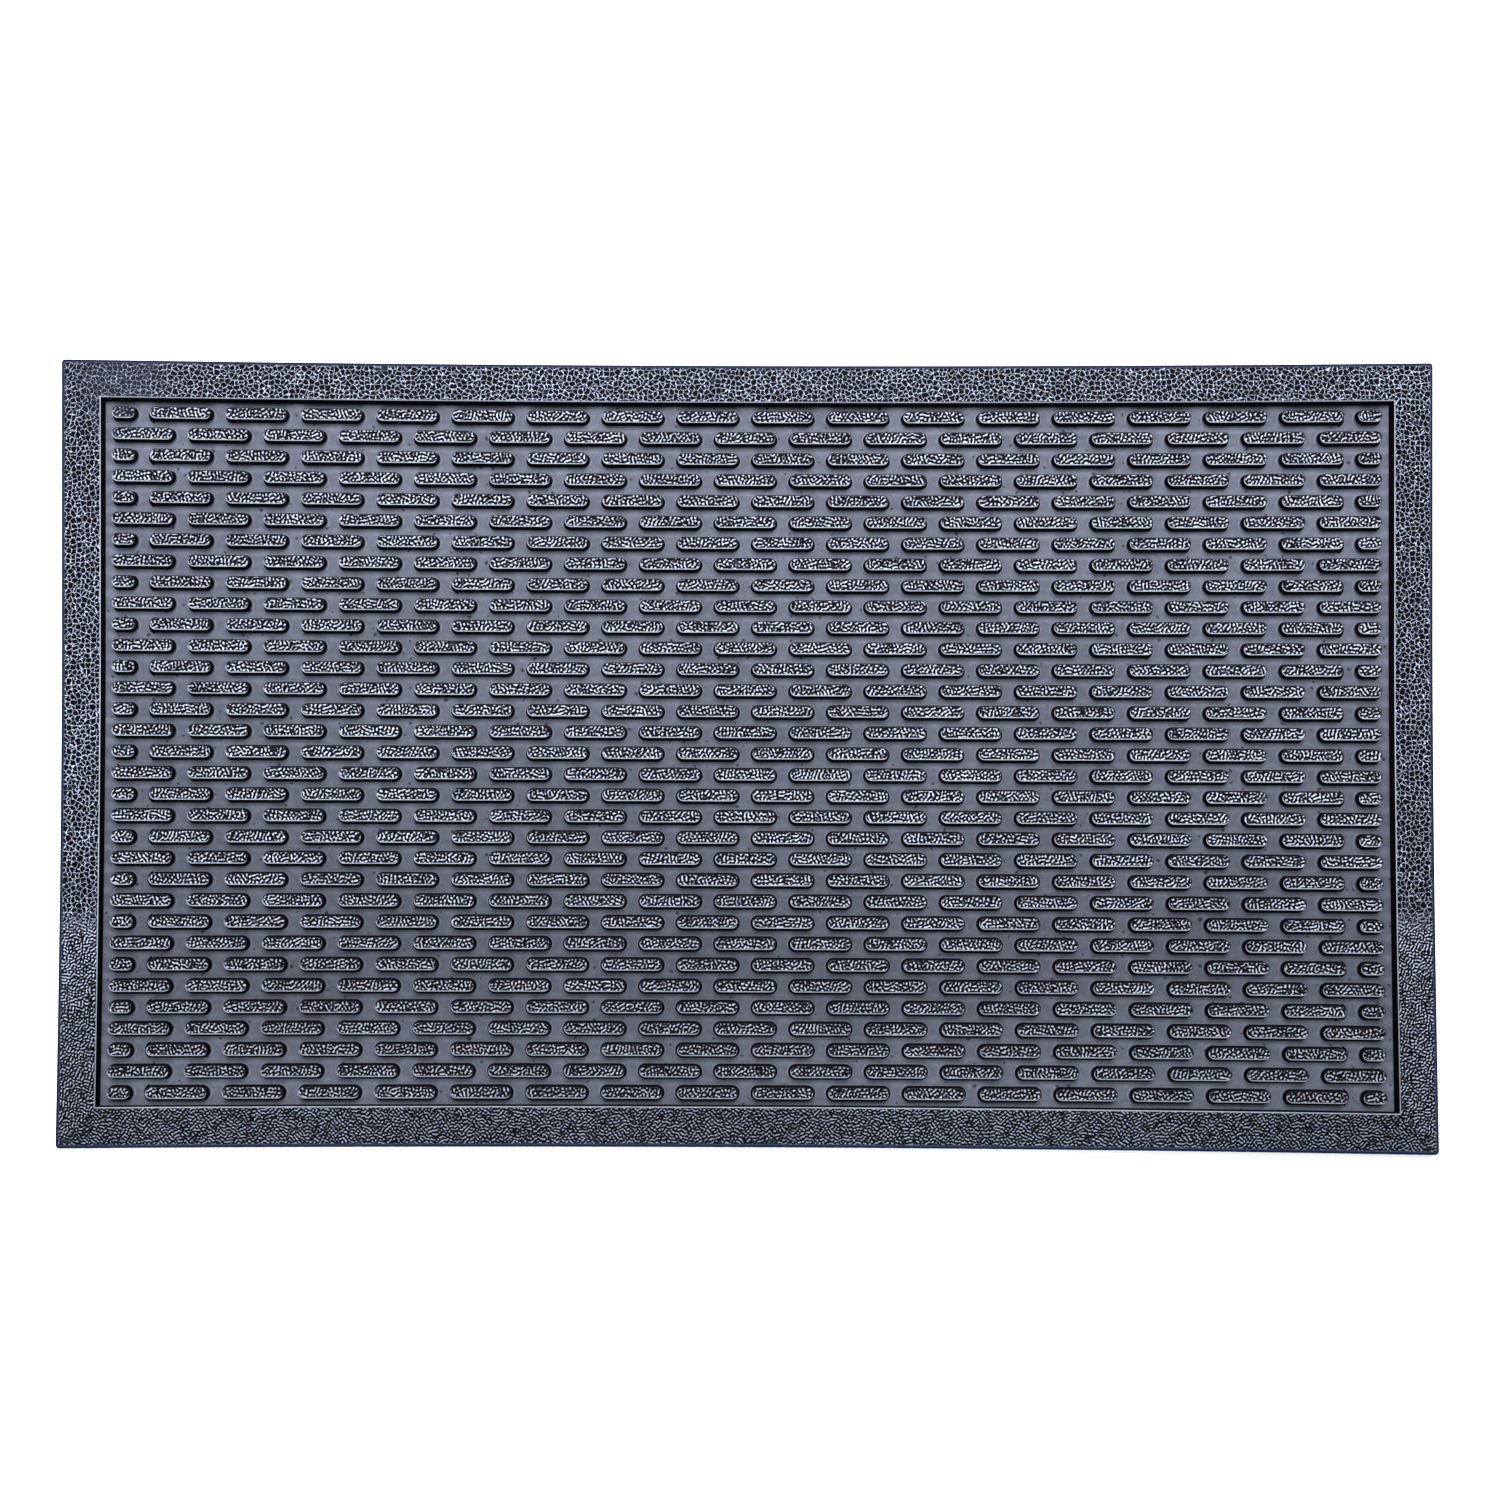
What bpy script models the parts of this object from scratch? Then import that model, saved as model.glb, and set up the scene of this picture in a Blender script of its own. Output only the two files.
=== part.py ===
"""Moulded rubber scraper door mat.

The mat is built as the named regions of its moulding: a backing sheet, four mitred border ramps, and
one tread strip for each row of scraper bars that stands in the recessed field.
Metres, +Z up. The origin is the centre of the underside, which lies on Z = 0. +X runs along the mat.
"""

import math

import bmesh
import bpy
from mathutils import Vector

# Outline
MAT_LENGTH = 0.700  # along X
MAT_WIDTH = 0.400  # along Y
CORNER_RADIUS = 0.0020
CORNER_SEGMENTS = 6  # on each rounded corner of the outline, an even number

# Layers
BASE_THICKNESS = 0.0020
WEB_THICKNESS = 0.0007  # the skin of the field that carries one row of bars
SEAM = 0.0003  # clearance between neighbouring regions

# Border ramp
BORDER_WIDTH = 0.0215  # from the outer edge to the rim of the field
EDGE_HEIGHT = 0.0046  # top of the outer edge, above the ground
RIM_HEIGHT = 0.0075  # top of the rim, above the ground
WALL_DRAFT = 0.0005  # how far the foot of the inner wall stands inside its rim
EDGE_FILLET = 0.0009
RIM_FILLET = 0.0005
FILLET_SEGMENTS = 2

# Scraper bars, measured at their feet
BAR_LENGTH = 0.0320
BAR_WIDTH = 0.0074
BAR_HEIGHT = 0.0035  # above the field
BAR_DRAFT = 0.0007  # how far the top is inset all round
BAR_GAP = 0.0063  # between bars in a row
ROW_GAP = 0.0033  # between rows
FIELD_MARGIN = 0.0025  # least bare floor between a bar and the border
BAR_END_SEGMENTS = 3  # on each round end

# Places that follow from the sizes above
LAYER_BOTTOM = BASE_THICKNESS + SEAM  # underside of the border and of the tread
FLOOR_HEIGHT = LAYER_BOTTOM + WEB_THICKNESS
BAR_TOP = FLOOR_HEIGHT + BAR_HEIGHT
FIELD_LENGTH = MAT_LENGTH - 2 * (BORDER_WIDTH + WALL_DRAFT + SEAM)
FIELD_WIDTH = MAT_WIDTH - 2 * (BORDER_WIDTH + WALL_DRAFT + SEAM)
BAR_PITCH = BAR_LENGTH + BAR_GAP
ROW_PITCH = BAR_WIDTH + ROW_GAP
SHORT_BAR_LENGTH = (BAR_LENGTH - BAR_GAP) / 2  # fills the half pitch at the end of a staggered row

WELD = 1e-6  # vertices closer than this are one

# Colours, linear, and roughness
BASE_LOOK = ((0.105, 0.112, 0.135), 0.50)
BORDER_LOOK = ((0.088, 0.094, 0.112), 0.42)
BAR_LOOK = ((0.095, 0.101, 0.118), 0.42)


def rubber(name, look):
    """A Principled material for one region."""
    colour, roughness = look
    material = bpy.data.materials.new(name)
    material.use_nodes = True
    shader = material.node_tree.nodes["Principled BSDF"]
    shader.inputs["Base Color"].default_value = (*colour, 1.0)
    shader.inputs["Roughness"].default_value = roughness
    shader.inputs["Metallic"].default_value = 0.0
    material.diffuse_color = (*colour, 1.0)
    return material


def add_object(name, bm, material, smooth_angle):
    """Turns a bmesh into a linked object whose edges are sharp above smooth_angle, in degrees."""
    bmesh.ops.recalc_face_normals(bm, faces=bm.faces[:])
    mesh = bpy.data.meshes.new(name)
    bm.to_mesh(mesh)
    bm.free()
    mesh.shade_smooth()
    mesh.set_sharp_from_angle(angle=math.radians(smooth_angle))
    mesh.materials.append(material)
    obj = bpy.data.objects.new(name, mesh)
    bpy.context.scene.collection.objects.link(obj)
    return obj


def fitted(space, size, gap):
    """How many pieces of this size, with this gap between them, fit in the space."""
    return int((space - size) // (size + gap)) + 1


def centred(count, pitch):
    """Places of count pieces, a pitch apart, about zero."""
    return [(i - (count - 1) / 2) * pitch for i in range(count)]


# Backing sheet


def add_base_sheet(material):
    """The flat sheet under the whole mat, with rounded corners."""
    bm = bmesh.new()
    bmesh.ops.create_cube(bm, size=1.0)
    bmesh.ops.scale(bm, vec=(MAT_LENGTH, MAT_WIDTH, BASE_THICKNESS), verts=bm.verts[:])
    upright = [e for e in bm.edges if abs(e.verts[0].co.z - e.verts[1].co.z) > BASE_THICKNESS / 2]
    bmesh.ops.bevel(
        bm, geom=upright, offset=CORNER_RADIUS, segments=CORNER_SEGMENTS, profile=0.5, affect="EDGES"
    )
    obj = add_object("base_sheet", bm, material, 40)
    obj.location.z = BASE_THICKNESS / 2
    return obj


# Border ramps


def fillet(before, corner, after, radius):
    """Points of the arc that rounds a corner of a profile, tangent to both of its sides."""
    to_before, to_after = (before - corner).normalized(), (after - corner).normalized()
    half = to_before.angle(to_after) / 2
    start = corner + to_before * (radius / math.tan(half))
    middle = corner + (to_before + to_after).normalized() * (radius / math.sin(half))
    first = start - middle
    turn = math.pi - 2 * half
    side = (corner + to_after * (radius / math.tan(half)) - middle) - first * math.cos(turn)
    side = side.normalized() * radius
    angles = [turn * i / FILLET_SEGMENTS for i in range(FILLET_SEGMENTS + 1)]
    return [middle + first * math.cos(a) + side * math.sin(a) for a in angles]


def ramp_profile():
    """The border's cross-section as (share of the way from the wall's foot to the outer edge, height)."""
    foot = Vector((-WALL_DRAFT, LAYER_BOTTOM))
    rim = Vector((0.0, RIM_HEIGHT))
    edge = Vector((BORDER_WIDTH, EDGE_HEIGHT))
    edge_foot = Vector((BORDER_WIDTH, LAYER_BOTTOM))
    outline = [foot, *fillet(foot, rim, edge, RIM_FILLET), *fillet(rim, edge, edge_foot, EDGE_FILLET)]
    width = WALL_DRAFT + BORDER_WIDTH
    return [((WALL_DRAFT + p.x) / width, p.y) for p in (*outline, edge_foot)]


def ramp_sections(outer_length):
    """(foot point, edge point) of each section along one strip. The rim is at Y = 0, the wall's foot at
    Y = WALL_DRAFT and the edge at Y = -BORDER_WIDTH. The sections fan round the outer corners from the
    ends of the foot."""
    half = outer_length / 2
    back_off = SEAM / math.sqrt(2)  # from the mitre plane, along the strip
    foot_end = Vector((half - BORDER_WIDTH - WALL_DRAFT - back_off, WALL_DRAFT))
    arc_centre = Vector((half - CORNER_RADIUS, CORNER_RADIUS - BORDER_WIDTH))
    steps = CORNER_SEGMENTS // 2
    right = [(foot_end, Vector((foot_end.x, -BORDER_WIDTH)))]
    for i in range(steps + 1):
        angle = math.pi / 4 * i / steps  # from the straight edge round to the mitre
        offset = Vector((math.sin(angle), -math.cos(angle))) * CORNER_RADIUS
        right.append((foot_end, arc_centre + offset))
    foot, edge = right[-1]
    right[-1] = (foot, edge - Vector((back_off, 0.0)))
    left = [(Vector((-a.x, a.y)), Vector((-b.x, b.y))) for a, b in reversed(right)]
    return left + right


def add_border(name, outer_length, distance, turn, material):
    """One mitred ramp. Its rim is this distance from the mat's centre, on the side that turn gives."""
    profile = ramp_profile()
    bm = bmesh.new()
    loops = []
    for foot, edge in ramp_sections(outer_length):
        places = [(foot + (edge - foot) * share, height) for share, height in profile]
        loops.append([bm.verts.new((p.x, p.y, height)) for p, height in places])
    for one, other in zip(loops, loops[1:]):
        for i in range(len(profile)):
            j = (i + 1) % len(profile)
            bm.faces.new((one[i], one[j], other[j], other[i]))
    bm.faces.new(loops[0])
    bm.faces.new(reversed(loops[-1]))
    bmesh.ops.remove_doubles(bm, verts=bm.verts[:], dist=WELD)
    bmesh.ops.triangulate(bm, faces=bm.faces[:])
    obj = add_object(name, bm, material, 40)
    obj.rotation_euler.z = turn
    obj.location = Vector((math.sin(turn) * distance, -math.cos(turn) * distance, 0.0))
    return obj


# Scraper rows


def round_ended(length, width):
    """The outline of a bar, anticlockwise, about its own centre."""
    radius = width / 2
    points = []
    for side in (1, -1):
        for i in range(BAR_END_SEGMENTS + 1):
            angle = -math.pi / 2 + math.pi * i / BAR_END_SEGMENTS
            reach = length / 2 - radius + radius * math.cos(angle)
            points.append(Vector((side * reach, side * radius * math.sin(angle))))
    return points


def loop_at(bm, points, height):
    """A closed loop of edges through these points, at this height."""
    verts = [bm.verts.new((p.x, p.y, height)) for p in points]
    return verts, [bm.edges.new((a, b)) for a, b in zip(verts, verts[1:] + verts[:1])]


def raise_bar(bm, centre, length):
    """A drafted bar that stands on the web. Returns the edges of its foot."""
    at = Vector((centre, 0.0))
    foot, foot_edges = loop_at(bm, [at + p for p in round_ended(length, BAR_WIDTH)], FLOOR_HEIGHT)
    inset = 2 * BAR_DRAFT
    outline = round_ended(length - inset, BAR_WIDTH - inset)
    top, _ = loop_at(bm, [at + p for p in outline], BAR_TOP)
    for i in range(len(foot)):
        j = (i + 1) % len(foot)
        bm.faces.new((foot[i], foot[j], top[j], top[i]))
    bm.faces.new(top)
    return foot_edges


def bars_of_row(staggered):
    """(place along X, length) of each bar in a row. A staggered row ends in short bars."""
    count = fitted(FIELD_LENGTH - 2 * FIELD_MARGIN, BAR_LENGTH, BAR_GAP)
    if not staggered:
        return [(x, BAR_LENGTH) for x in centred(count, BAR_PITCH)]
    row_end = ((count - 1) * BAR_PITCH + BAR_LENGTH) / 2
    short = row_end - SHORT_BAR_LENGTH / 2
    bars = [(x, BAR_LENGTH) for x in centred(count - 1, BAR_PITCH)]
    return [(-short, SHORT_BAR_LENGTH), *bars, (short, SHORT_BAR_LENGTH)]


def add_row(name, y, front, back, staggered, material):
    """One row of bars on its strip of the field. front and back are the strip's reach about the row."""
    half = FIELD_LENGTH / 2
    strip = [Vector(p) for p in ((-half, -front), (half, -front), (half, back), (-half, back))]
    bm = bmesh.new()
    low, _ = loop_at(bm, strip, LAYER_BOTTOM)
    high, rim = loop_at(bm, strip, FLOOR_HEIGHT)
    bm.faces.new(reversed(low))
    for i in range(len(low)):
        j = (i + 1) % len(low)
        bm.faces.new((low[i], low[j], high[j], high[i]))
    for centre, length in bars_of_row(staggered):
        rim += raise_bar(bm, centre, length)
    bmesh.ops.triangle_fill(bm, edges=rim, use_beauty=True, normal=(0.0, 0.0, 1.0))
    obj = add_object(name, bm, material, 70)
    obj.location.y = y
    return obj


def add_rows(material):
    """Every row of bars, from the front of the mat to the back."""
    count = fitted(FIELD_WIDTH - 2 * FIELD_MARGIN, BAR_WIDTH, ROW_GAP)
    inner_reach = (ROW_PITCH - SEAM) / 2
    outer_reach = FIELD_WIDTH / 2 - (count - 1) / 2 * ROW_PITCH
    for i, y in enumerate(centred(count, ROW_PITCH)):
        front = outer_reach if i == 0 else inner_reach
        back = outer_reach if i == count - 1 else inner_reach
        add_row(f"scraper_row_{i + 1:02d}", y, front, back, i % 2 == 0, material)


def build():
    for obj in list(bpy.data.objects):
        bpy.data.objects.remove(obj)
    add_base_sheet(rubber("base_rubber", BASE_LOOK))
    border = rubber("border_rubber", BORDER_LOOK)
    across, along = MAT_WIDTH / 2 - BORDER_WIDTH, MAT_LENGTH / 2 - BORDER_WIDTH
    add_border("border_front", MAT_LENGTH, across, 0.0, border)
    add_border("border_right", MAT_WIDTH, along, math.pi / 2, border)
    add_border("border_back", MAT_LENGTH, across, math.pi, border)
    add_border("border_left", MAT_WIDTH, along, -math.pi / 2, border)
    add_rows(rubber("scraper_rubber", BAR_LOOK))


build()
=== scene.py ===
"""Looks of a moulded rubber scraper door mat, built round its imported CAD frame.

Every CAD node is replaced by a finer mesh of the same region: drafted and filleted scraper bars on a
smooth floor, mitred border ramps with a pebbled grain, and a backing sheet. Metres, +Z up.
"""

import math

import bpy
import numpy as np
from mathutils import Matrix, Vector


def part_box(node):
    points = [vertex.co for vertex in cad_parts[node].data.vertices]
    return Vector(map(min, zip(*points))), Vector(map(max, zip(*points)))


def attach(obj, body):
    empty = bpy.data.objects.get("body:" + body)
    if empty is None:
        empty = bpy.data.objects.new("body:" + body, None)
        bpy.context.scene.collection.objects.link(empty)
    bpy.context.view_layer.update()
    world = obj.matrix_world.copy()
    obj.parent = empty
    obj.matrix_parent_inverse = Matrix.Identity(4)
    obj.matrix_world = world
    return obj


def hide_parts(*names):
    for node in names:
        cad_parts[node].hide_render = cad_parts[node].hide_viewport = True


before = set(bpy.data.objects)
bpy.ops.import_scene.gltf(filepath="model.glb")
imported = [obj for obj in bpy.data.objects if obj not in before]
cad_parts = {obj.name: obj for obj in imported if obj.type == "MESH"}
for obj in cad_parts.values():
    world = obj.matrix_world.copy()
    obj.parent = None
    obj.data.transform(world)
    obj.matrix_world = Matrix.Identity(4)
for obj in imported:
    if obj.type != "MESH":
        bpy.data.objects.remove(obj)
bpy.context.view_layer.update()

MM = 0.001
WELD = 1e-6  # vertices this close become one
NEAR = 0.02 * MM  # CAD measures this close count as the same
SHARP_ANGLE = math.radians(62)

# How finely each region is sampled
BAR_SIDE_STEP = 1.15 * MM  # along a bar's straight sides
BAR_END_STEPS = 10  # round each end of a bar
BORDER_STEP = 0.75 * MM
UNDERSIDE_STEP = 10 * MM

# Small shapes that the CAD solids leave out
WALL_TUCK = 0.5 * MM  # how far the field's floor runs under the border
UNDERSIDE_CHAMFER = 0.5 * MM
GRAIN_DEPTH = 0.34 * MM
BAR_STRETCH = 0.2 * MM  # the visible bars' ends reach this much further than the solids'
PANEL_SINK = 0.06 * MM  # how far the grained top lies below a bar's rim

# The real sheet isn't quite straight. Its corners bow outwards, its front corners splay, and its border
# is drawn in or out a little. u and v run from -1 to 1 along the mat and across it, v = 1 at the back
CORNER_BOW = 2.36 * MM
ROW_SLOPE = 1.0 * MM  # forwards at the right end and backwards at the left
FRONT_SPLAY = 3.3 * MM
SPLAY_START = 0.25  # the v where the splay starts
SPLAY_POWER = 1.6  # how late it comes on
LEFT_DRAW = 1.6 * MM  # inwards, the rim and the edge
BACK_DRAW = 1.4 * MM  # inwards, the edge
BACK_RIM_DRAW = 0.55 * MM  # inwards, the rim
FRONT_DRAW = 0.45 * MM  # inwards, the edge
FRONT_SAG = 0.1 * MM  # outwards, the rim
FRONT_TILT = 0.7 * MM  # a slope like ROW_SLOPE, of the front rim and edge alone
BAR_FLARE = 2.3 * MM  # how far the bars spread towards the front corners
FLARE_CUBIC = 0.7  # how much more of it comes near the rows' ends
SQUEEZE_CUBIC, SQUEEZE_LINEAR = 0.94, 0.54  # out at a row's ends and in between, in BAR_FLAREs
BAR_DRIFT = 0.8 * MM  # to the right, at both ends of the rows
DRIFT_BACK, DRIFT_MIDDLE, DRIFT_CORNER = 0.1, -0.3, 0.7  # the same elsewhere, in BAR_DRIFTs
ROW_LIFT = 0.73 * MM  # backwards, of the middle rows
LIFT_SKEW = 0.5  # how much more of it there is at the left end than in the middle
ROW_TILT = 1.1 * MM  # forwards, of the front rows' right ends
LONG_MARGIN = 2.2 * MM  # width of the floor that takes up the shift of the front and back rims
SIDE_MARGIN = 5.5 * MM  # width of the floor that takes up the shift of the side rims
CORNER_SHARE = 0.45  # how far out along the front and back borders the corners' splay starts

# Painted highlights, shade and light, as zone weights
HIGHLIT_SIDE = np.array([-0.45, -0.89])  # the way that the brightest part of a bar rim's painted highlight faces
RIM_HIGHLIT_SHARE, RIM_SHADE = 0.85, 0.6  # how strong the rim's painted highlight is on that side, and its painted shade on the other
SHADED_SIDE = np.array([0.5, -0.87])  # the way that the darkest painted shadow on the floor beside a bar lies
SHADE_LEAST, SHADE_MORE = 0.55, 0.45  # how dark that painted shadow is on every side, and how much more there
BETWEEN_ROWS = 0.32  # how much paler the floor is painted there, as painted light
BETWEEN_START, BETWEEN_STOP = 2.6 * MM, 4.6 * MM  # off the row's middle line
BACK_GLOW = 0.8  # how much paler the floor is painted under the back wall, as painted light
HALO_WEIGHT = 0.5  # how much paler the floor is painted a little way round a bar, as a painted halo of light
# A wall's lower part is painted lit instead of painted shade, higher where it faces this point from far away
LIT_FOOT_MIDDLE = np.array([0.0, -0.08])
LIT_FOOT_SLOPE = 3.1 * MM  # height of the painted lit part of a wall for each metre away from there
BORDER_PAINTED_LIGHT = {  # how strong each border rim's painted highlight is, and how much of its wall's foot is painted lit
    "front": (1.0, 0.0),
    "right": (0.7, 0.3),
    "back": (0.3, 0.5),
    "left": (0.7, 0.3),
}


def smoothstep(low, high, value):
    """0 at low and 1 at high, easing in and out between them."""
    t = np.clip((value - low) / (high - low), 0.0, 1.0)
    return t * t * (3 - 2 * t)


# The frame's own sizes


def cad_points(node):
    """The distinct vertices of a CAD node, rounded to a micrometre."""
    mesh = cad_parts[node].data
    points = np.empty(len(mesh.vertices) * 3, np.float32)
    mesh.vertices.foreach_get("co", points)
    return np.unique(np.round(points.reshape(-1, 3).astype(float), 6), axis=0)


def near(values, value):
    return np.abs(values - value) < NEAR


class Row:
    """A row of bars, read from its CAD node: heights, reach, and each bar's centre and straight half."""

    def __init__(self, node):
        self.node = node
        points = cad_points(node)
        x, y, z = points.T
        self.bottom, self.top = z.min(), z.max()
        self.floor = np.unique(z[(z > self.bottom + WELD) & (z < self.top - WELD)])[0]
        crowns = points[near(z, self.top)]
        feet = points[near(z, self.floor) & (np.abs(x) < np.abs(x).max() - WELD)]
        self.y = (crowns[:, 1].max() + crowns[:, 1].min()) / 2
        self.top_radius = crowns[:, 1].max() - self.y
        self.foot_radius = feet[:, 1].max() - self.y
        ends = np.sort(crowns[near(crowns[:, 1], crowns[:, 1].max()), 0])
        self.bars = [((a + b) / 2, (b - a) / 2) for a, b in zip(ends[0::2], ends[1::2])]
        self.reach = x.max()
        self.front, self.back = y.min(), y.max()


rows = [Row(name) for name in sorted(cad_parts) if name.startswith("scraper_row")]
OUTER = Vector(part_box("base_sheet")[1])  # half length, half width and the sheet's thickness
RIM_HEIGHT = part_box("border_front")[1].z
LAYER_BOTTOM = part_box("border_front")[0].z
FLOOR = rows[0].floor

WALL_DRAFT = 0.5 * MM
EDGE_HEIGHT = 4.6 * MM  # top of the outer edge
BORDER_WIDTH = OUTER.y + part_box("border_front")[1].y - WALL_DRAFT
CORNER_RADIUS = 2.0 * MM


def warp(points, along_border):
    """Bows the mat's plan a little, as the real sheet lies. The bars shift along their rows too, and the
    bare floor beside them takes up the difference from the border. A border and the backing sheet set
    along_border: their front corners' splay is spread along the front and they have no bars to shift."""
    x, y = points[:, 0].copy(), points[:, 1].copy()
    u, v = x / OUTER.x, y / OUTER.y
    rim_x, rim_y = OUTER.x - BORDER_WIDTH, OUTER.y - BORDER_WIDTH
    points[:, 1] += CORNER_BOW * u * u * v - ROW_SLOPE * u
    at_rim = smoothstep(rim_y - LONG_MARGIN, rim_y, -y)
    at_edge = smoothstep(rim_y, OUTER.y, -y)
    points[:, 1] -= at_rim * (FRONT_SAG + FRONT_TILT * u) - at_edge * (FRONT_SAG + FRONT_DRAW)
    points[:, 1] -= BACK_RIM_DRAW * smoothstep(rim_y - LONG_MARGIN, rim_y, y)
    points[:, 1] -= (BACK_DRAW - BACK_RIM_DRAW) * smoothstep(rim_y, OUTER.y, y)
    start = CORNER_SHARE * rim_x if along_border else rim_x - SIDE_MARGIN
    share = smoothstep(start, rim_x, np.abs(x))
    forward = np.clip((SPLAY_START - v) / (1 + SPLAY_START), 0, 1)
    front = forward ** 2
    splay = FRONT_SPLAY * forward ** SPLAY_POWER - LEFT_DRAW * (x < 0)
    points[:, 0] += np.sign(x) * share * splay
    if not along_border:
        flare = BAR_FLARE * (u + FLARE_CUBIC * u ** 3) * front
        squeeze = BAR_FLARE * (SQUEEZE_CUBIC * u ** 3 - SQUEEZE_LINEAR * u)
        corner = DRIFT_CORNER * front * np.clip(u, 0, 1)
        drift = BAR_DRIFT * (u * u + DRIFT_BACK * v + DRIFT_MIDDLE + corner)
        points[:, 0] += (1 - share) * (flare + squeeze + drift)
        points[:, 1] -= ROW_TILT * forward ** 3 * np.clip(1 + u, 0, 1)
    points[:, 1] += (1 - v * v) * ROW_LIFT * (1 - LIFT_SKEW * u)
    return points


# Meshes


class Patchwork:
    """Collects vertices, with a zone weight each, and faces of any size."""

    def __init__(self):
        self.points, self.zones, self.faces, self.count = [], [], [], 0

    def add(self, points, zones):
        """Adds vertices and returns their numbers. zones holds (pebbled, rim, wall, foot) for each. The rim
        weight is a painted highlight and the wall weight painted shade; the foot weight is painted light on a
        row's floor and painted shade along a border's outer edge.
        """
        points = np.asarray(points, float).reshape(-1, 3)
        zones = np.broadcast_to(np.asarray(zones, float), (len(points), 4))
        self.points.append(points)
        self.zones.append(zones)
        self.count += len(points)
        return np.arange(self.count - len(points), self.count)

    def bridge(self, one, other, closed):
        """Faces between two equally long loops. Where two neighbours are one vertex, a triangle."""
        ends = len(one) if closed else len(one) - 1
        for i in range(ends):
            j = (i + 1) % len(one)
            face = [one[i], one[j], other[j], other[i]]
            face = [p for k, p in enumerate(face) if p != face[k - 1]]
            if len(face) > 2:
                self.faces.append(face)

    def welded(self):
        points, zones = np.concatenate(self.points), np.concatenate(self.zones)
        keys = np.round(points / WELD).astype(np.int64)
        _, first, index = np.unique(keys, axis=0, return_index=True, return_inverse=True)
        index = index.reshape(-1)
        faces = []
        for face in self.faces:
            ring = [index[p] for p in face]
            ring = [p for k, p in enumerate(ring) if p != ring[k - 1]]
            if len(ring) > 2:
                faces.append(ring)
        return points[first], zones[first], faces


def build_mesh(name, work, along_border):
    points, zones, faces = work.welded()
    points = warp(points, along_border)
    sizes = np.array([len(f) for f in faces], np.int32)
    corners = np.concatenate([np.asarray(f, np.int32) for f in faces])
    mesh = bpy.data.meshes.new(name)
    mesh.vertices.add(len(points))
    mesh.vertices.foreach_set("co", points.astype(np.float32).ravel())
    mesh.loops.add(len(corners))
    mesh.loops.foreach_set("vertex_index", corners)
    mesh.polygons.add(len(faces))
    mesh.polygons.foreach_set("loop_start", np.concatenate([[0], np.cumsum(sizes)[:-1]]).astype(np.int32))
    mesh.polygons.foreach_set("loop_total", sizes)
    mesh.update(calc_edges=True)
    held = mesh.attributes.new("zones", "FLOAT_COLOR", "POINT")
    held.data.foreach_set("color", zones.astype(np.float32).ravel())
    mesh.validate()
    mesh.shade_smooth()
    mesh.set_sharp_from_angle(angle=SHARP_ANGLE)
    return mesh


def add_piece(name, mesh, material, node):
    """A piece that rides on the mat's one body and takes the place of its CAD node."""
    obj = bpy.data.objects.new(name, mesh)
    bpy.context.scene.collection.objects.link(obj)
    mesh.materials.append(material)
    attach(obj, "root")
    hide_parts(node)
    return obj


# Scraper rows


def bar_ring(centre, straight, radius, side_steps):
    """Points round a bar at this distance from its spine, and which way each one faces, anticlockwise
    from the front of its +X end."""
    angles = np.linspace(-math.pi / 2, math.pi / 2, BAR_END_STEPS + 1)
    along = np.linspace(straight, -straight, side_steps + 1)[1:-1]
    facing = np.stack([np.cos(angles), np.sin(angles)], 1)
    facing = np.concatenate([facing, np.repeat([[0.0, 1.0]], len(along), 0)])
    spine = np.concatenate([np.full(len(angles), straight), along])
    half = facing * radius + np.stack([spine, 0 * spine], 1)
    return np.concatenate([half, -half]) + (centre, 0.0), np.concatenate([facing, -facing])


def cell_ring(centre, straight, left, right, front, back, side_steps):
    """The cell's outline, with one point for each point of bar_ring."""
    along = np.linspace(straight, -straight, side_steps + 1)[1:-1] + centre
    share = np.linspace(0, 1, BAR_END_STEPS + 1)
    plus = np.stack([np.full(len(share), right), front + (back - front) * share], 1)
    far = np.stack([along, np.full(len(along), back)], 1)
    minus = np.stack([np.full(len(share), left), back + (front - back) * share], 1)
    close = np.stack([along[::-1], np.full(len(along), front)], 1)
    return np.concatenate([plus, far, minus, close])


# Zones of a bar: the grained panel, a rim with a painted highlight, a wall in painted shade, a ring of
# painted shadow on the floor, a painted halo of light, and bare floor with painted light between the rows
PANEL, RIM, WALL, SHADE, HALO, BARE = "panel", "rim", "wall", "shade", "halo", "bare"


def bar_profile(row):
    """(distance from the spine, height, zone) from the floor up the wall and in over the crown."""
    crown, foot = row.top_radius, row.foot_radius
    return (
        (foot + 1.10 * MM, row.floor, BARE),
        (foot + 0.55 * MM, row.floor, HALO),
        (foot + 0.22 * MM, row.floor, SHADE),
        (foot + 0.04 * MM, row.floor + 0.14 * MM, WALL),
        (foot - 0.12 * MM, row.floor + 0.60 * MM, WALL),
        (foot - 0.22 * MM, row.floor + 1.10 * MM, WALL),
        (crown + 0.18 * MM, row.top - 0.45 * MM, WALL),
        (crown + 0.04 * MM, row.top - 0.14 * MM, WALL),
        (crown - 0.12 * MM, row.top - 0.03 * MM, RIM),
        (crown - 0.36 * MM, row.top, RIM),
        (crown - 0.60 * MM, row.top - 0.05 * MM, PANEL),
        (crown - 1.55 * MM, row.top - PANEL_SINK, PANEL),
        (crown - 2.35 * MM, row.top - PANEL_SINK, PANEL),
    )


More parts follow.
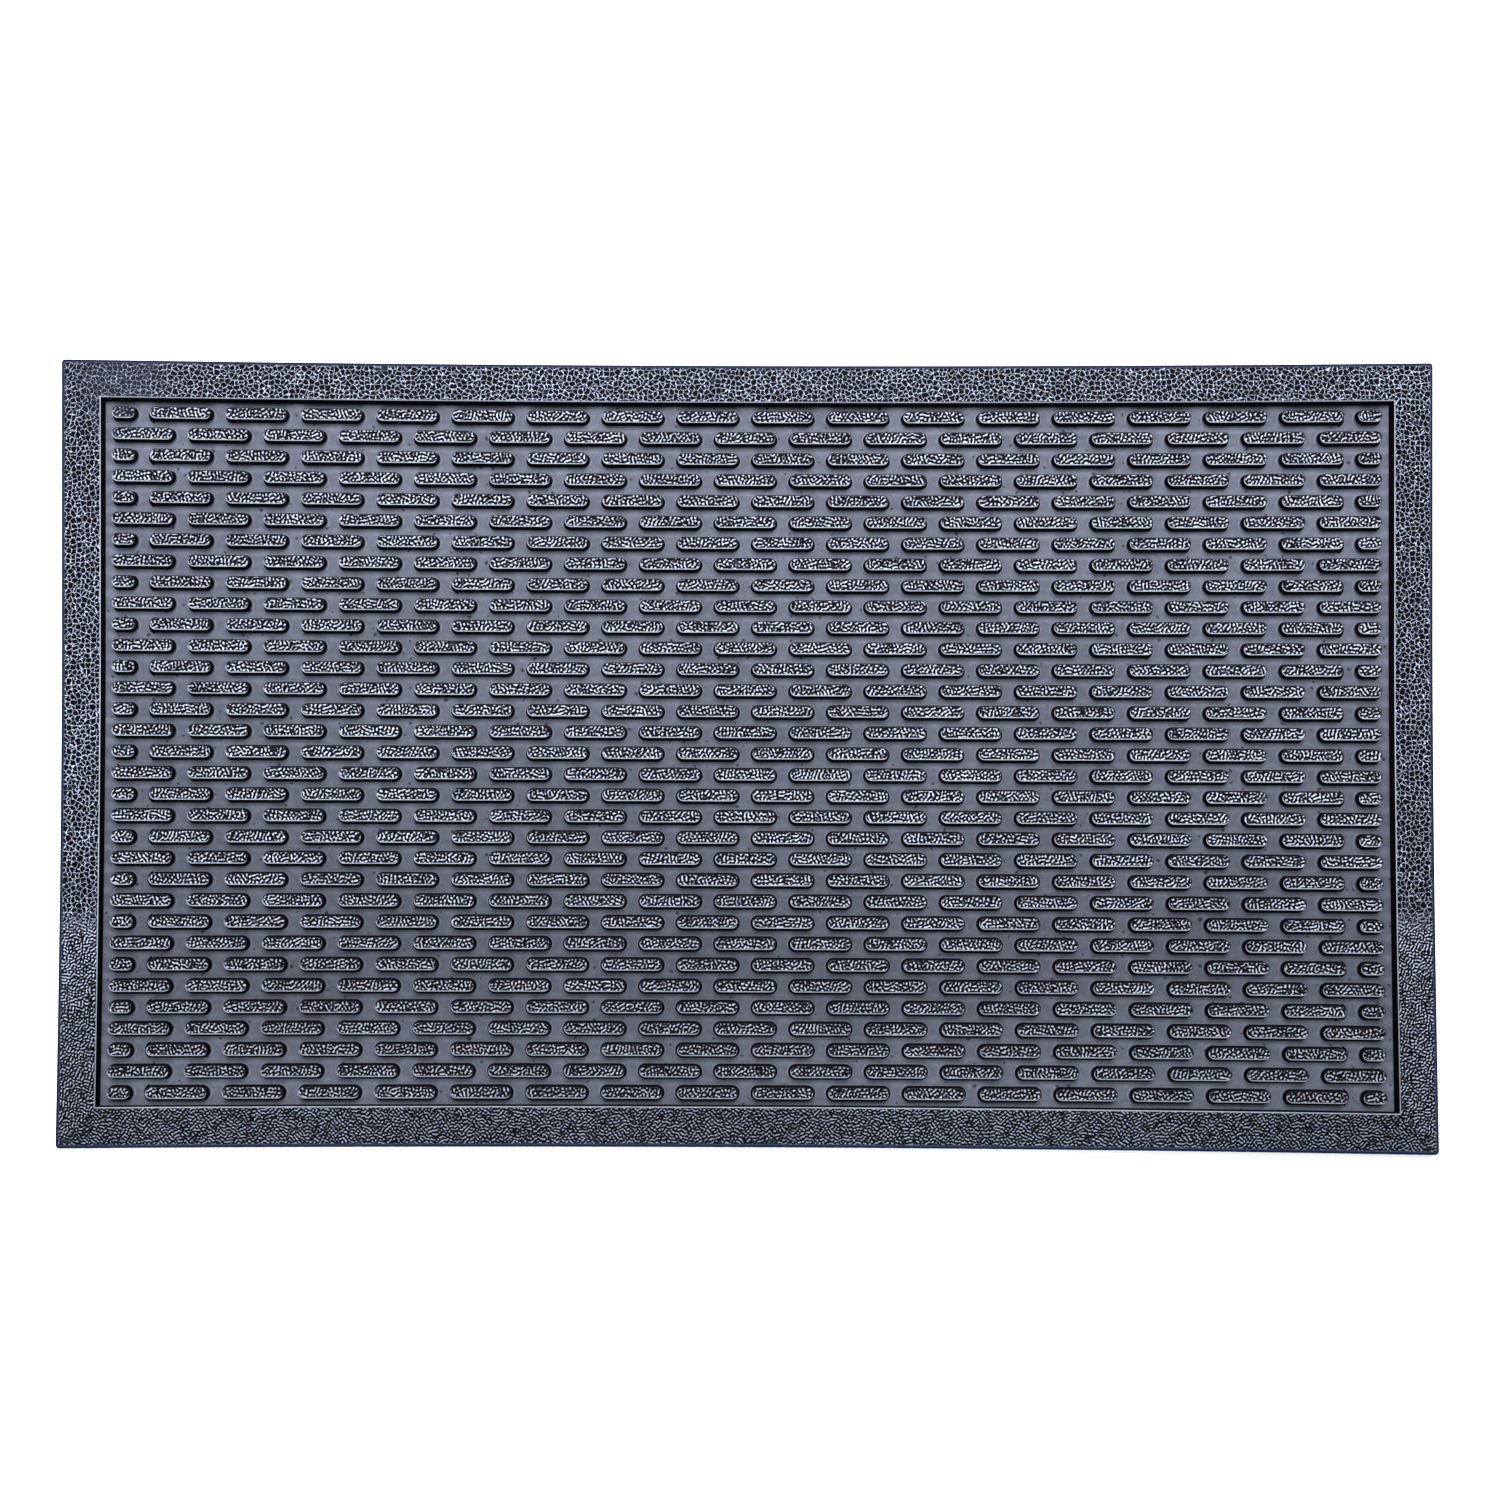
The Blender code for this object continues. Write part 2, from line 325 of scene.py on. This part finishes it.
def zone_weights(zone, facing, flat, row, rise):
    """(pebbled, rim, wall, foot) for each point of a ring, rise above the floor. A rim gets a painted
    highlight on one side and painted shade on the other. The floor gets painted light between the rows and
    under the back wall, and a painted halo of light round a bar. A wall is painted shade, and the floor at
    its foot a painted shadow, but a wall's lower part is painted lit, higher where it faces a point near the
    mat's middle from far away."""
    weights = np.zeros((len(facing), 4))
    off_row = flat[:, 1]
    if zone == RIM:
        # Painted highlight on one side of the rim, painted shade on the other
        highlit = smoothstep(-0.3, 0.9, facing @ HIGHLIT_SIDE)
        weights[:, 1], weights[:, 2] = RIM_HIGHLIT_SHARE * highlit, RIM_SHADE * (1 - highlit)
    elif zone == BARE:
        # Painted light on the floor between the rows and under the back wall
        between = BETWEEN_ROWS * smoothstep(BETWEEN_START, BETWEEN_STOP, np.abs(off_row))
        under_wall = BACK_GLOW * smoothstep(5.0 * MM, 6.0 * MM, off_row)
        weights[:, 3] = np.maximum(between, under_wall)
    elif zone in (SHADE, WALL):
        # Painted shade on a wall and painted shadow on the floor at its foot, but the wall's lower part is
        # painted lit
        inward = LIT_FOOT_MIDDLE - np.column_stack([flat[:, 0], off_row + row.y])
        lit_foot = np.clip((facing * inward).sum(1), 0, None) * LIT_FOOT_SLOPE
        weights[:, 2] = smoothstep(-0.5 * MM, 0.1 * MM, rise - lit_foot)
        if zone == SHADE:
            weights[:, 2] *= SHADE_LEAST + SHADE_MORE * smoothstep(-0.5, 0.6, facing @ SHADED_SIDE)
    elif zone == HALO:
        # A painted halo of light on the floor round a bar
        weights[:, 3] = HALO_WEIGHT
    else:
        weights[:, 0] = 1.0
    return weights


def add_bar(work, row, centre, straight, left, right, front, back):
    """One bar on its cell of floor. front and back are about the row's middle."""
    straight += BAR_STRETCH
    steps = max(4, round(2 * straight / BAR_SIDE_STEP))
    outline = cell_ring(centre, straight, left, right, front, back, steps)

    def place(flat, z):
        return np.column_stack([flat[:, 0], flat[:, 1] + row.y, np.full(len(flat), z)])

    last = work.add(place(outline, row.floor), zone_weights(BARE, outline, outline, row, 0.0))
    for radius, height, zone in bar_profile(row):
        flat, facing = bar_ring(centre, straight, radius, steps)
        ring = work.add(place(flat, height), zone_weights(zone, facing, flat, row, height - row.floor))
        work.bridge(last, ring, closed=True)
        last = ring
    along = np.linspace(straight, -straight, steps + 1) + centre
    spine = work.add(place(np.stack([along, 0 * along], 1), row.top - PANEL_SINK), (1, 0, 0, 0))
    ends = BAR_END_STEPS + 1
    to_spine = [spine[0]] * ends + list(spine[1:-1]) + [spine[-1]] * ends + list(spine[-2:0:-1])
    work.bridge(last, np.array(to_spine), closed=True)
    return outline


def add_row(row, front, back, reach, material):
    """A strip of floor with its bars, from front to back, closed underneath."""
    work = Patchwork()
    middles = [(a[0] + b[0]) / 2 for a, b in zip(row.bars, row.bars[1:])]
    lefts, rights = [-reach, *middles], [*middles, reach]
    near_side, far_side = [], []
    for (centre, straight), left, right in zip(row.bars, lefts, rights):
        outline = add_bar(work, row, centre, straight, left, right, front - row.y, back - row.y)
        low, high = outline[:, 1].min(), outline[:, 1].max()
        near_side.append(outline[near(outline[:, 1], low)])
        far_side.append(outline[near(outline[:, 1], high)])
    share = np.linspace(0, 1, BAR_END_STEPS + 1)[1:-1]
    side = (front - row.y) + (back - front) * share
    run = np.concatenate([
        np.unique(np.round(np.concatenate(near_side) / WELD), axis=0) * WELD,
        np.stack([np.full(len(side), reach), side], 1),
        (np.unique(np.round(np.concatenate(far_side) / WELD), axis=0) * WELD)[::-1],
        np.stack([np.full(len(side), -reach), side[::-1]], 1),
    ])
    lower, upper = (
        work.add(np.column_stack([run[:, 0], run[:, 1] + row.y, np.full(len(run), z)]), (0, 0, 0, 0))
        for z in (row.bottom, row.floor)
    )
    work.bridge(lower, upper, closed=True)
    work.faces.append(list(lower[::-1]))
    mesh = build_mesh(row.node, work, along_border=False)
    return add_piece(row.node + "_rubber", mesh, material, row.node)


# Border ramps


def border_profile(highlit, lit_foot):
    """(distance outwards from the rim, height, zones) from the inner wall's foot over to the outer foot.
    The first argument is how strong the rim's painted highlight is, and the second how much of the inner
    wall's foot is painted lit instead of painted shade. Both walls and the outer edge are painted shade."""
    slope = (RIM_HEIGHT - EDGE_HEIGHT) / BORDER_WIDTH
    crest = RIM_HEIGHT - 0.05 * MM
    profile = [
        (-WALL_DRAFT, LAYER_BOTTOM, (0, 0, 1, 0)),
        (-WALL_DRAFT * 0.9, FLOOR + 0.1 * MM, (0, 0, 1 - lit_foot, 0)),
        (-WALL_DRAFT * 0.75, FLOOR + 0.8 * MM, (0, 0, 1 - lit_foot, 0)),
        (-WALL_DRAFT * 0.6, FLOOR + 1.3 * MM, (0, 0, 1, 0)),
        (-0.05 * MM, RIM_HEIGHT - 0.60 * MM, (0, 0, 1, 0)),
        (0.12 * MM, crest - 0.16 * MM, (0, 0, 1, 0)),
        (0.26 * MM, crest - 0.03 * MM, (0, highlit, 0, 0)),
        (0.62 * MM, crest, (0, highlit, 0, 0)),
        (0.95 * MM, RIM_HEIGHT - slope * 1.0 * MM, (0.8, 0, 0, 0)),
    ]
    start, stop = 1.6 * MM, BORDER_WIDTH - 2.4 * MM
    for out in np.linspace(start, stop, round((stop - start) / BORDER_STEP) + 1):
        profile.append((out, RIM_HEIGHT - slope * out, (1, 0, 0, 0)))
    profile += [
        # The outer edge and the outer face in painted shade
        (BORDER_WIDTH - 1.75 * MM, RIM_HEIGHT - slope * (BORDER_WIDTH - 1.75 * MM), (0.4, 0, 0, 0.6)),
        (BORDER_WIDTH - 1.30 * MM, EDGE_HEIGHT + 0.14 * MM, (0.2, 0, 0, 0.95)),
        (BORDER_WIDTH - 0.72 * MM, EDGE_HEIGHT + 0.06 * MM, (0, 0, 0, 1)),
        (BORDER_WIDTH - 0.20 * MM, EDGE_HEIGHT - 0.16 * MM, (0, 0, 0, 1)),
        (BORDER_WIDTH, EDGE_HEIGHT - 0.80 * MM, (0, 0, 1, 0)),
        (BORDER_WIDTH, LAYER_BOTTOM, (0, 0, 1, 0)),
    ]
    return profile


def rounded_corners(flat):
    """Pulls the points in each outer corner square onto arcs, so that the outline turns smoothly."""
    inner = np.array([OUTER.x - CORNER_RADIUS, OUTER.y - CORNER_RADIUS])
    over = np.abs(flat) - inner
    inside = (over > 0).all(1)
    length = np.linalg.norm(over, axis=1)
    scale = np.where(inside, over.max(1) / np.maximum(length, 1e-9), 1.0)
    moved = np.sign(flat) * (inner + over * scale[:, None])
    return np.where(inside[:, None], moved, flat)


def add_border(name, turn, highlit, lit_foot, material):
    """One mitred ramp. Its columns run across the strip, and its rows along it."""
    along_x = turn % 2 == 0
    half, away = (OUTER.x, OUTER.y) if along_x else (OUTER.y, OUTER.x)
    rim_half, rim_away = half - BORDER_WIDTH, away - BORDER_WIDTH
    steps = round(2 * half / BORDER_STEP)
    share = np.linspace(-1, 1, steps + 1)
    cos, sin = ((1, 0), (0, 1), (-1, 0), (0, -1))[turn]
    work = Patchwork()
    lines = []
    for out, height, zones in border_profile(highlit, lit_foot):
        x, y = share * (rim_half + out), np.full(len(share), -(rim_away + out))
        flat = rounded_corners(np.stack([x * cos - y * sin, x * sin + y * cos], 1))
        lines.append(work.add(np.column_stack([flat, np.full(len(flat), height)]), zones))
    for one, other in zip(lines, lines[1:]):
        work.bridge(other, one, closed=False)
    work.bridge(lines[0], lines[-1], closed=False)
    work.faces.append([line[0] for line in lines])
    work.faces.append([line[-1] for line in reversed(lines)])
    mesh = build_mesh(name, work, along_border=True)
    return add_piece(name + "_rubber", mesh, material, name)


# Backing sheet


def add_base(material):
    """The sheet under the mat, with a small chamfer round its lower edge."""
    work = Patchwork()
    long_steps, wide_steps = (round(2 * side / UNDERSIDE_STEP) for side in (OUTER.x, OUTER.y))

    def spread(steps, half):
        inner = np.linspace(-(half - CORNER_RADIUS), half - CORNER_RADIUS, steps + 1)
        edge = half - CORNER_RADIUS * np.array([0.75, 0.5, 0.25, 0.0])
        return np.concatenate([-edge[::-1], inner, edge])

    xs, ys = spread(long_steps, OUTER.x), spread(wide_steps, OUTER.y)
    grid = np.stack(np.meshgrid(xs, ys, indexing="ij"), -1).reshape(-1, 2)
    flat = rounded_corners(grid)
    inward = flat * (1 - UNDERSIDE_CHAMFER / np.array([OUTER.x, OUTER.y]))
    levels = []
    for spots, height in ((inward, 0.0), (flat, LAYER_BOTTOM)):
        levels.append(work.add(np.column_stack([spots, np.full(len(spots), height)]), (0, 0, 0, 0)))
    chamfer = work.add(np.column_stack([flat, np.full(len(flat), UNDERSIDE_CHAMFER)]), (0, 0, 1, 0))
    shape = (len(xs), len(ys))
    low, high, mid = (level.reshape(shape) for level in (levels[0], levels[1], chamfer))
    for i in range(len(xs) - 1):
        work.bridge(low[i + 1], low[i], closed=False)
        work.bridge(high[i], high[i + 1], closed=False)

    def loop(grid):
        return np.concatenate([grid[:, 0], grid[-1, 1:], grid[-2::-1, -1], grid[0, -2:0:-1]])

    for sheet, over in ((low, mid), (mid, high)):
        work.bridge(loop(sheet), loop(over), closed=True)
    mesh = build_mesh("base_sheet", work, along_border=True)
    return add_piece("base_sheet_rubber", mesh, material, "base_sheet")


# The pebbled grain, as one field that the meshes and the materials both read


class Nodes:
    """Adds nodes to a tree and links them, with sockets or plain values as inputs."""

    def __init__(self, tree):
        self.tree = tree

    def add(self, kind, settings=None, **inputs):
        node = self.tree.nodes.new(kind)
        for name, value in (settings or {}).items():
            setattr(node, name, value)
        for name, value in inputs.items():
            key = int(name[1:]) if name[0] == "i" and name[1:].isdigit() else name.replace("_", " ")
            if isinstance(value, bpy.types.NodeSocket):
                self.tree.links.new(value, node.inputs[key])
            else:
                node.inputs[key].default_value = value
        return node

    def maths(self, operation, *values, clamp=False):
        inputs = {f"i{i}": v for i, v in enumerate(values)}
        return self.add("ShaderNodeMath", {"operation": operation, "use_clamp": clamp}, **inputs).outputs[0]

    def vector(self, operation, *values):
        inputs = {f"i{i}": v for i, v in enumerate(values)}
        return self.add("ShaderNodeVectorMath", {"operation": operation}, **inputs).outputs[0]

    def ramp(self, value, low, high, to_low=0.0, to_high=1.0):
        node = self.add("ShaderNodeMapRange", {"interpolation_type": "SMOOTHSTEP"}, Value=value)
        for key, number in (("From Min", low), ("From Max", high), ("To Min", to_low), ("To Max", to_high)):
            node.inputs[key].default_value = number
        return node.outputs[0]


COARSE, STREAKED, FINE = "coarse", "streaked", "fine"  # sides and back, front, bars
PITS_PER_METRE = 388.0
PIT_WANDER = 2.2 * MM
RIDGE_EDGE = (0.015, 0.080)  # the top and the foot of a ridge, in pits from its middle line
COARSE_FADE = (-0.092, -0.078)  # the y where the side borders' grain turns from wormy to coarse
# Wormy grain: (scale, anisotropy, direction in degrees). COARSE has it at the mat's front end only
WORMS = {COARSE: (300.0, 0.25, 120), STREAKED: (300.0, 0.30, 88), FINE: (275.0, 0.10, 140)}
WORM_EDGE = (0.52, 0.64)  # the texture's value at a ridge's foot and top


def grain_height(nodes, position, grain):
    """0 in the pits and 1 on the ridges between them. The same nodes work in a mesh or a material."""
    worms = worm_height(nodes, position, *WORMS[grain])
    if grain != COARSE:
        return worms
    wander = nodes.add("ShaderNodeTexNoise", {"noise_dimensions": "2D"}, Vector=position,
                       Scale=480.0, Detail=2.0, Roughness=0.6)
    centred = nodes.vector("SUBTRACT", wander.outputs["Color"], (0.5, 0.5, 0.5))
    shift = nodes.vector("MULTIPLY", centred, (PIT_WANDER, PIT_WANDER, 0.0))
    settings = {"voronoi_dimensions": "2D", "feature": "DISTANCE_TO_EDGE"}
    cells = nodes.add("ShaderNodeTexVoronoi", settings, Vector=nodes.vector("ADD", position, shift),
                      Scale=PITS_PER_METRE, Randomness=0.9)
    ridges = nodes.ramp(cells.outputs["Distance"], *RIDGE_EDGE, 1.0, 0.0)
    across = nodes.add("ShaderNodeSeparateXYZ", None, Vector=position).outputs["Y"]
    fading = nodes.ramp(across, *COARSE_FADE)
    return nodes.add("ShaderNodeMix", None, Factor=fading, A=worms, B=ridges).outputs[0]


def worm_height(nodes, position, scale, anisotropy, degrees):
    """1 on wormy ridges, 0 between them, with the ridges mostly square to this direction."""
    worms = nodes.add("ShaderNodeTexGabor", {"gabor_type": "2D"}, Vector=position, Scale=scale,
                      Frequency=2.0, Anisotropy=anisotropy, Orientation=math.radians(degrees))
    return nodes.ramp(worms.outputs["Value"], *WORM_EDGE)


def press_grain(obj, grain):
    """Presses the grain into a piece's mesh, by its zone weights."""
    tree = bpy.data.node_groups.new("press_grain", "GeometryNodeTree")
    tree.interface.new_socket("Geometry", in_out="INPUT", socket_type="NodeSocketGeometry")
    tree.interface.new_socket("Geometry", in_out="OUTPUT", socket_type="NodeSocketGeometry")
    nodes = Nodes(tree)
    entry, leave = nodes.add("NodeGroupInput"), nodes.add("NodeGroupOutput")
    position = nodes.add("GeometryNodeInputPosition").outputs[0]
    zones = nodes.add("GeometryNodeInputNamedAttribute", {"data_type": "FLOAT_COLOR"}, Name="zones")
    pebbled = nodes.add("FunctionNodeSeparateColor", None, Color=zones.outputs["Attribute"]).outputs[0]
    sunk = nodes.maths("SUBTRACT", grain_height(nodes, position, grain), 1.0)
    drop = nodes.maths("MULTIPLY", nodes.maths("MULTIPLY", sunk, GRAIN_DEPTH), pebbled)
    offset = nodes.add("ShaderNodeCombineXYZ", None, Z=drop).outputs[0]
    moved = nodes.add("GeometryNodeSetPosition", None, Geometry=entry.outputs[0], Offset=offset)
    tree.links.new(moved.outputs[0], leave.inputs[0])
    modifier = obj.modifiers.new("grain", "NODES")
    modifier.node_group = tree
    graph = bpy.context.evaluated_depsgraph_get()
    pressed = bpy.data.meshes.new_from_object(obj.evaluated_get(graph), depsgraph=graph)
    obj.modifiers.clear()
    obj.data = pressed
    bpy.data.node_groups.remove(tree)


# Materials

FLOOR_COLOUR = (0.068, 0.076, 0.102)
# The grain's ridges get a painted highlight and its pits painted shade, crisp and dull
RIDGE_COLOUR = (0.34, 0.38, 0.50)
BAR_RIDGE_COLOUR = (0.335, 0.362, 0.445)
PIT_COLOUR = (0.0003, 0.0003, 0.0010)
DULL_RIDGE, DULL_PIT = (0.112, 0.125, 0.168), (0.010, 0.012, 0.020)
# Painted highlight on the rims
RIM_HIGHLIGHT_COLOUR = (0.26, 0.285, 0.35)
# Painted shade on the walls, on the floor at their feet and on the rims' far side
WALL_SHADE_COLOUR = (0.0003, 0.0003, 0.0007)
# Painted light on the floor between the rows, under the back wall and round the bars
FLOOR_LIGHT_COLOUR = (0.145, 0.159, 0.203)
# Painted shade along a border's outer edge
EDGE_SHADE_COLOUR = (0.0015, 0.006, 0.022)
BACKING_DARK, BACKING_PALE = (0.016, 0.017, 0.022), (0.034, 0.036, 0.044)
GRAIN_TONE = {COARSE: (0.54, 1.06), STREAKED: (0.41, 0.41), FINE: (0.62, 1.0)}  # at the front and back, as painted sheen that brightens the grain towards the back
TONE_REACH = (-0.190, 0.010)  # the y where the grain's tone starts and stops changing
# How strong the front border rim's painted highlight is
FRONT_RIM_TONE = 0.66
WORN_CORNER = (-0.318, 0.189, 0.006)  # the middle of the patch
WORN_REACH = (0.010, 0.036)  # how far from there the wear starts and stops fading
WORN_SHARE = 0.65


def mix(nodes, share, one, other):
    """One colour where share is 0 and the other where it is 1."""
    node = nodes.add("ShaderNodeMix", {"data_type": "RGBA", "clamp_factor": True})
    tree = nodes.tree
    for key, value in (("Factor", share), ("A", one), ("B", other)):
        kind = "NodeSocketFloat" if key == "Factor" else "NodeSocketColor"
        socket = next(s for s in node.inputs if s.name == key and s.bl_idname.startswith(kind))
        if isinstance(value, bpy.types.NodeSocket):
            tree.links.new(value, socket)
        else:
            socket.default_value = value if key == "Factor" else (*value, 1.0)
    return next(s for s in node.outputs if s.bl_idname == "NodeSocketColor")


def scaled(nodes, colour, *factors):
    """A colour times each factor."""
    for factor in factors:
        colour = nodes.add("ShaderNodeVectorMath", {"operation": "SCALE"}, i0=colour, Scale=factor).outputs[0]
    return colour


def worn_corner(nodes, position):
    """WORN_SHARE where the grain is worn flat, near the back left corner, and 0 elsewhere."""
    gap = nodes.add("ShaderNodeVectorMath", {"operation": "DISTANCE"}, i0=position, i1=WORN_CORNER)
    return nodes.ramp(gap.outputs["Value"], *WORN_REACH, WORN_SHARE, 0.0)


def moulded_rubber(grain):
    """Satin blue-black rubber: a smooth floor with painted light and painted shadow, walls in painted shade,
    rims with a painted highlight, and the moulded grain with painted highlights on its ridges and painted
    shade in its pits.
    """
    material = bpy.data.materials.new(grain + "_rubber")
    material.use_nodes = True
    nodes = Nodes(material.node_tree)
    shader = material.node_tree.nodes["Principled BSDF"]
    shader.inputs["Specular IOR Level"].default_value = 0.05
    position = nodes.add("ShaderNodeTexCoord").outputs["Object"]
    across = nodes.add("ShaderNodeSeparateXYZ", None, Vector=position).outputs["Y"]
    # Zone weights: rim is a painted highlight, wall painted shade, and foot painted light on a row's floor
    # and painted shade along a border's outer edge
    zones = nodes.add("ShaderNodeAttribute", {"attribute_name": "zones"})
    pebbled, rim, wall = nodes.add("ShaderNodeSeparateColor", None, Color=zones.outputs["Color"]).outputs
    foot = zones.outputs["Alpha"]
    height = grain_height(nodes, position, grain)

    def noise(scale, detail):
        return nodes.add("ShaderNodeTexNoise", None, Vector=position, Scale=scale, Detail=detail).outputs[0]

    # The bare rubber is paler towards the back, as painted sheen, and at the front end, as painted light, and
    # all of it is cloudy
    cloud = nodes.ramp(noise(14.0, 3.0), 0.3, 0.7, 0.90, 1.10)
    mottle = nodes.ramp(noise(300.0, 3.0), 0.3, 0.7, 0.90, 1.10)
    fine = noise(1500.0, 2.0)
    front_lift = nodes.ramp(across, -0.170, -0.110, 0.18, 0.0)
    bare_tone = nodes.maths("ADD", nodes.ramp(across, -0.140, 0.175, 0.56, 0.96), front_lift)
    speck = nodes.ramp(noise(330.0, 0.0), 0.755, 0.80, 1.0, 0.3)
    # The foot weight mixes in the floor's painted light
    bare = scaled(nodes, mix(nodes, foot, FLOOR_COLOUR, FLOOR_LIGHT_COLOUR), bare_tone, speck)
    # The grain is duller in patches and at the worn corner, and towards the front, where it gets less painted
    # sheen
    crisp = nodes.ramp(noise(150.0, 1.0), 0.20, 0.36)
    crisp = nodes.maths("SUBTRACT", crisp, worn_corner(nodes, position), clamp=True)
    # Ridges with a painted highlight, pits with painted shade
    ridge = mix(nodes, crisp, DULL_RIDGE, BAR_RIDGE_COLOUR if grain == FINE else RIDGE_COLOUR)
    pit = mix(nodes, crisp, DULL_PIT, PIT_COLOUR)
    # Painted sheen on the grain, brighter towards the back
    grain_tone = nodes.ramp(across, *TONE_REACH, *GRAIN_TONE[grain])
    grained = scaled(nodes, mix(nodes, height, pit, ridge), grain_tone)
    # The rims' painted highlight
    pale = scaled(nodes, RIM_HIGHLIGHT_COLOUR, FRONT_RIM_TONE if grain == STREAKED else grain_tone)
    colour = mix(nodes, nodes.ramp(pebbled, 0.1, 0.6), bare, grained)
    colour = mix(nodes, rim, colour, pale)
    if grain != FINE:  # on a border this zone is the outer edge
        # Painted shade along a border's outer edge
        colour = mix(nodes, foot, colour, EDGE_SHADE_COLOUR)
    # Painted shade on the walls, the floor at their feet and the rims' far side
    colour = mix(nodes, nodes.ramp(wall, 0.2, 0.7), colour, WALL_SHADE_COLOUR)
    colour = scaled(nodes, colour, cloud, mottle)
    material.node_tree.links.new(colour, shader.inputs["Base Color"])
    grain_rough = nodes.ramp(height, 0.0, 1.0, 0.72, 0.42)
    rough = nodes.maths("ADD", grain_rough, nodes.ramp(fine, 0.3, 0.7, -0.05, 0.05))
    material.node_tree.links.new(rough, shader.inputs["Roughness"])
    relief = nodes.maths("MULTIPLY", height, pebbled)
    bump = nodes.add("ShaderNodeBump", None, Height=relief, Strength=1.0, Distance=0.25 * MM)
    skin = nodes.add("ShaderNodeBump", None, Height=fine, Strength=0.5, Distance=0.03 * MM,
                     Normal=bump.outputs[0])
    material.node_tree.links.new(skin.outputs[0], shader.inputs["Normal"])
    return material


def backing_rubber():
    """The plain underside: matt black rubber with the fine weave of the moulding cloth."""
    material = bpy.data.materials.new("backing_rubber")
    material.use_nodes = True
    nodes = Nodes(material.node_tree)
    shader = material.node_tree.nodes["Principled BSDF"]
    position = nodes.add("ShaderNodeTexCoord").outputs["Object"]
    mottle = nodes.add("ShaderNodeTexNoise", None, Vector=position, Scale=60.0, Detail=5.0).outputs[0]
    colour = mix(nodes, nodes.ramp(mottle, 0.3, 0.7), BACKING_DARK, BACKING_PALE)
    material.node_tree.links.new(colour, shader.inputs["Base Color"])
    weave = [
        nodes.add("ShaderNodeTexWave", {"bands_direction": way}, Vector=position, Scale=180.0,
                  Distortion=0.4).outputs[1]
        for way in "XY"
    ]
    cloth = nodes.maths("MAXIMUM", *weave)
    bump = nodes.add("ShaderNodeBump", None, Height=cloth, Strength=0.6, Distance=0.12 * MM)
    material.node_tree.links.new(bump.outputs[0], shader.inputs["Normal"])
    rough = nodes.ramp(mottle, 0.3, 0.7, 0.62, 0.78)
    material.node_tree.links.new(rough, shader.inputs["Roughness"])
    return material


# Studio

STUDIO_WHITE = (0.93, 0.93, 0.93, 1)
WORLD_COLOUR, WORLD_STRENGTH = (0.93, 0.96, 1.0, 1), 0.44
STUDIO_HALF_SIDE = 6.0
STUDIO_DROP = 0.2 * MM  # the studio floor lies this far under the mat
CAMERA_HEIGHT = 0.660
CAMERA_SHIFT = (0.035, 0.165)
FRAMES_PER_METRE = 1.3136  # frame widths in a metre at the bars' tops
FRAME_MIDDLE = (0.0021, 0.0024)  # what lies at the middle of the frame


def add_light(name, place, target, size, power, colour):
    """A rectangular softbox that faces its target."""
    lamp = bpy.data.lights.new(name, "AREA")
    lamp.shape = "RECTANGLE"
    lamp.size, lamp.size_y = size
    lamp.energy = power
    lamp.color = colour
    obj = bpy.data.objects.new(name, lamp)
    obj.location = place
    obj.rotation_euler = (Vector(target) - Vector(place)).to_track_quat("-Z", "Y").to_euler()
    bpy.context.scene.collection.objects.link(obj)


def add_studio():
    """A plain white floor, a pale sky and two softboxes."""
    material = bpy.data.materials.new("white_floor")
    material.use_nodes = True
    shader = material.node_tree.nodes["Principled BSDF"]
    shader.inputs["Base Color"].default_value = STUDIO_WHITE
    shader.inputs["Roughness"].default_value = 0.9
    mesh = bpy.data.meshes.new("studio_floor")
    side = STUDIO_HALF_SIDE
    corners = [(-side, -side, 0), (side, -side, 0), (side, side, 0), (-side, side, 0)]
    mesh.from_pydata(corners, [], [(0, 1, 2, 3)])
    mesh.materials.append(material)
    floor = bpy.data.objects.new("studio_floor", mesh)
    floor.location.z = -STUDIO_DROP
    bpy.context.scene.collection.objects.link(floor)
    world = bpy.data.worlds.new("studio_world")
    world.use_nodes = True
    background = world.node_tree.nodes["Background"]
    background.inputs["Color"].default_value = WORLD_COLOUR
    background.inputs["Strength"].default_value = WORLD_STRENGTH
    bpy.context.scene.world = world
    add_light("back_softbox", place=(0.1, 1.0, 1.5), target=(0, 0.05, 0), size=(1.6, 1.0), power=88.0,
              colour=(1.0, 0.99, 0.97))
    add_light("front_fill", place=(-0.5, -1.3, 1.2), target=(0, 0, 0), size=(1.4, 0.8), power=36.0,
              colour=(0.95, 0.97, 1.0))


def add_camera():
    """Looks straight down from nearer the mat's front edge, with the frame shifted back over the mat."""
    camera = bpy.data.cameras.new("camera")
    camera.sensor_width = 36.0
    camera.lens = camera.sensor_width * FRAMES_PER_METRE * (CAMERA_HEIGHT - rows[0].top)
    camera.shift_x, camera.shift_y = CAMERA_SHIFT
    camera.clip_start, camera.clip_end = 0.01, 50.0
    obj = bpy.data.objects.new("camera", camera)
    x, y = (middle - shift / FRAMES_PER_METRE for middle, shift in zip(FRAME_MIDDLE, CAMERA_SHIFT))
    obj.location = (x, y, CAMERA_HEIGHT)
    bpy.context.scene.collection.objects.link(obj)
    bpy.context.scene.camera = obj


def build():
    """Every piece of the mat: the rows from front to back, the borders and the backing sheet."""
    rubber = {grain: moulded_rubber(grain) for grain in (COARSE, STREAKED, FINE)}
    for i, row in enumerate(rows):
        front = (rows[i - 1].y + row.y) / 2 if i else row.front - WALL_TUCK
        back = (rows[i + 1].y + row.y) / 2 if i + 1 < len(rows) else row.back + WALL_TUCK
        press_grain(add_row(row, front, back, row.reach + WALL_TUCK, rubber[FINE]), FINE)
    for turn, side in enumerate(("front", "right", "back", "left")):
        grain = STREAKED if side == "front" else COARSE
        border = add_border("border_" + side, turn, *BORDER_PAINTED_LIGHT[side], rubber[grain])
        press_grain(border, grain)
    add_base(backing_rubber())


add_camera()
add_studio()
build()
bpy.context.scene.view_settings.view_transform = "Standard"
